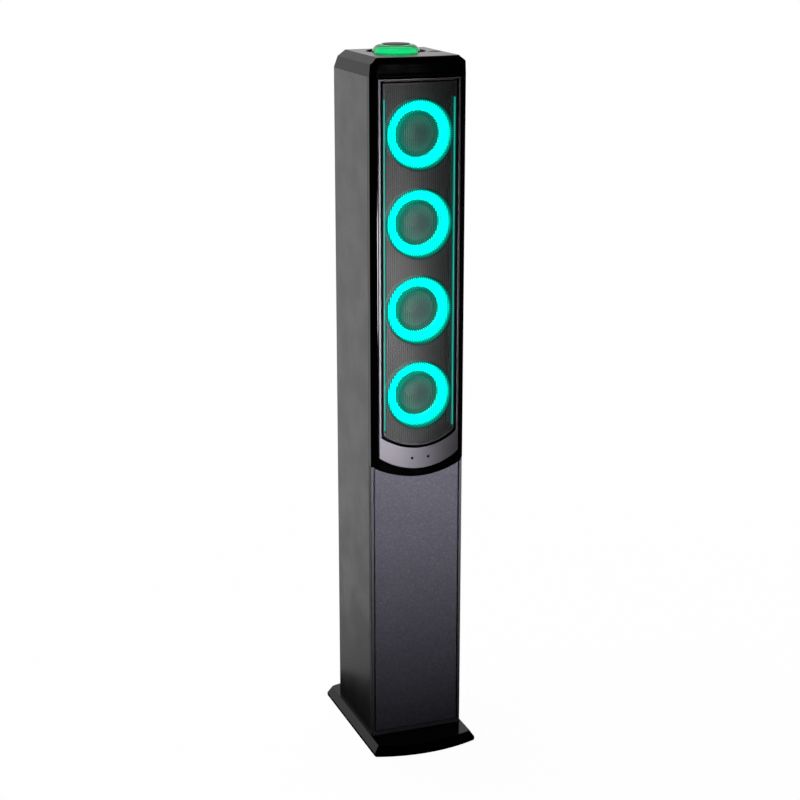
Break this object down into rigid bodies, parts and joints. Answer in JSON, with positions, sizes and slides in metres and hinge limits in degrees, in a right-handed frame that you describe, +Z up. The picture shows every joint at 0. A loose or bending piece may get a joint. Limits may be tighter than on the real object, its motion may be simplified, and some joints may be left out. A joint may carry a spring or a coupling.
{
  "type": "party speaker",
  "caption": "Slim tower party speaker with ring-lit drivers behind a perforated grille, a lit control dial on top and a broad base.",
  "frame": {"origin": "middle of the footprint, on the plane of the feet", "axes": "+Z up, +X to the right seen from the front, front face towards -Y"},
  "size_m": [0.1546, 0.247, 0.9955],
  "materials": {
    "gloss_black": "piano black, polished",
    "satin_black": "satin moulded",
    "plate_black": "fine matt powder coat",
    "vinyl_black": "boards wrapped in black satin vinyl",
    "leatherette": "pebbled black leather cloth",
    "mdf_black": "painted fibreboard",
    "mdf": "raw fibreboard",
    "trim_grey": "satin gunmetal",
    "grille_black": "powder-coated perforated sheet",
    "ring_light": "lit diffuser",
    "strip_light": "lit light guide",
    "dial_green": "lit light guide",
    "dial_clear": "frosted clear plastic",
    "disc_grey": "spun satin",
    "rubber": "matt",
    "cone_paper": "coated pulp",
    "spider_cloth": "resin-set cloth",
    "basket_metal": "matt black",
    "magnet": "ferrite with plated plates",
    "pcb": "solder mask",
    "heat_sink_metal": "extruded",
    "steel": "black zinc",
    "pin_brass": "plated",
    "rocker_black": "satin moulded"
  },
  "bodies": {
    "cabinet": {"amplifier_board": "pcb", "base_plate": "gloss_black", "base_screws": "steel", "bass_port": "satin_black", "bottom_board": "mdf", "brace_shelf": "mdf", "connection_plate": "plate_black", "control_board": "pcb", "dial_light_core": "dial_green", "driver_basket_1": "basket_metal", "driver_basket_2": "basket_metal", "driver_basket_3": "basket_metal", "driver_basket_4": "basket_metal", "driver_magnet_1": "magnet", "driver_magnet_2": "magnet", "driver_magnet_3": "magnet", "driver_magnet_4": "magnet", "driver_screws": "steel", "driver_spiders": "spider_cloth", "driver_surrounds": "rubber", "front_baffle": "mdf_black", "front_bezel": "gloss_black", "grille": "grille_black", "heat_sink": "heat_sink_metal", "input_jacks": "satin_black", "led_boards": "pcb", "light_strip_left": "strip_light", "light_strip_right": "strip_light", "lower_front_frame": "satin_black", "lower_front_panel": "leatherette", "mains_inlet": "satin_black", "mains_pins": "pin_brass", "plate_screws": "steel", "power_supply_board": "pcb", "rear_panel": "vinyl_black", "ring_diffuser_1": "ring_light", "ring_diffuser_2": "ring_light", "ring_diffuser_3": "ring_light", "ring_diffuser_4": "ring_light", "rubber_feet": "rubber", "side_panel_left": "vinyl_black", "side_panel_right": "vinyl_black", "switch_housing": "satin_black", "top_board": "mdf", "top_cap": "satin_black", "trim_frame": "trim_grey", "wiring_loom": "rubber"},
    "dial": {"dial_shell": "dial_clear", "dial_shaft": "steel"},
    "dial_cap": {"dial_button": "disc_grey"},
    "function_button": {"top_button": "satin_black"},
    "rocker": {"power_switch": "rocker_black"},
    "cone_1": {"driver_cone_1": "cone_paper", "dust_cap_1": "cone_paper"},
    "cone_2": {"driver_cone_2": "cone_paper", "dust_cap_2": "cone_paper"},
    "cone_3": {"driver_cone_3": "cone_paper", "dust_cap_3": "cone_paper"},
    "cone_4": {"driver_cone_4": "cone_paper", "dust_cap_4": "cone_paper"}
  },
  "joints": [
    {"name": "dial_turn", "type": "hinge", "parent": "cabinet", "child": "dial", "pos_m": [0, 0.011, 0.99], "axis": [0, 0, 1], "continuous": true},
    {"name": "dial_press", "type": "slide", "parent": "dial", "child": "dial_cap", "axis": [0, 0, -1], "range_m": [0, 0.0008], "stiffness_N_per_m": 400, "springref_m": -0.002},
    {"name": "button_press", "type": "slide", "parent": "cabinet", "child": "function_button", "axis": [0, 0, -1], "range_m": [0, 0.0008], "stiffness_N_per_m": 400, "springref_m": -0.002},
    {"name": "switch_rock", "type": "hinge", "parent": "cabinet", "child": "rocker", "pos_m": [-0.02, 0.073, 0.188], "axis": [1, 0, 0], "range_deg": [-14, 0]},
    {"name": "cone_travel_1", "type": "slide", "parent": "cabinet", "child": "cone_1", "axis": [0, -1, 0], "range_m": [-0.0025, 0.0025], "stiffness_N_per_m": 1200},
    {"name": "cone_travel_2", "type": "slide", "parent": "cabinet", "child": "cone_2", "axis": [0, -1, 0], "range_m": [-0.0025, 0.0025], "stiffness_N_per_m": 1200},
    {"name": "cone_travel_3", "type": "slide", "parent": "cabinet", "child": "cone_3", "axis": [0, -1, 0], "range_m": [-0.0025, 0.0025], "stiffness_N_per_m": 1200},
    {"name": "cone_travel_4", "type": "slide", "parent": "cabinet", "child": "cone_4", "axis": [0, -1, 0], "range_m": [-0.0025, 0.0025], "stiffness_N_per_m": 1200}
  ]
}
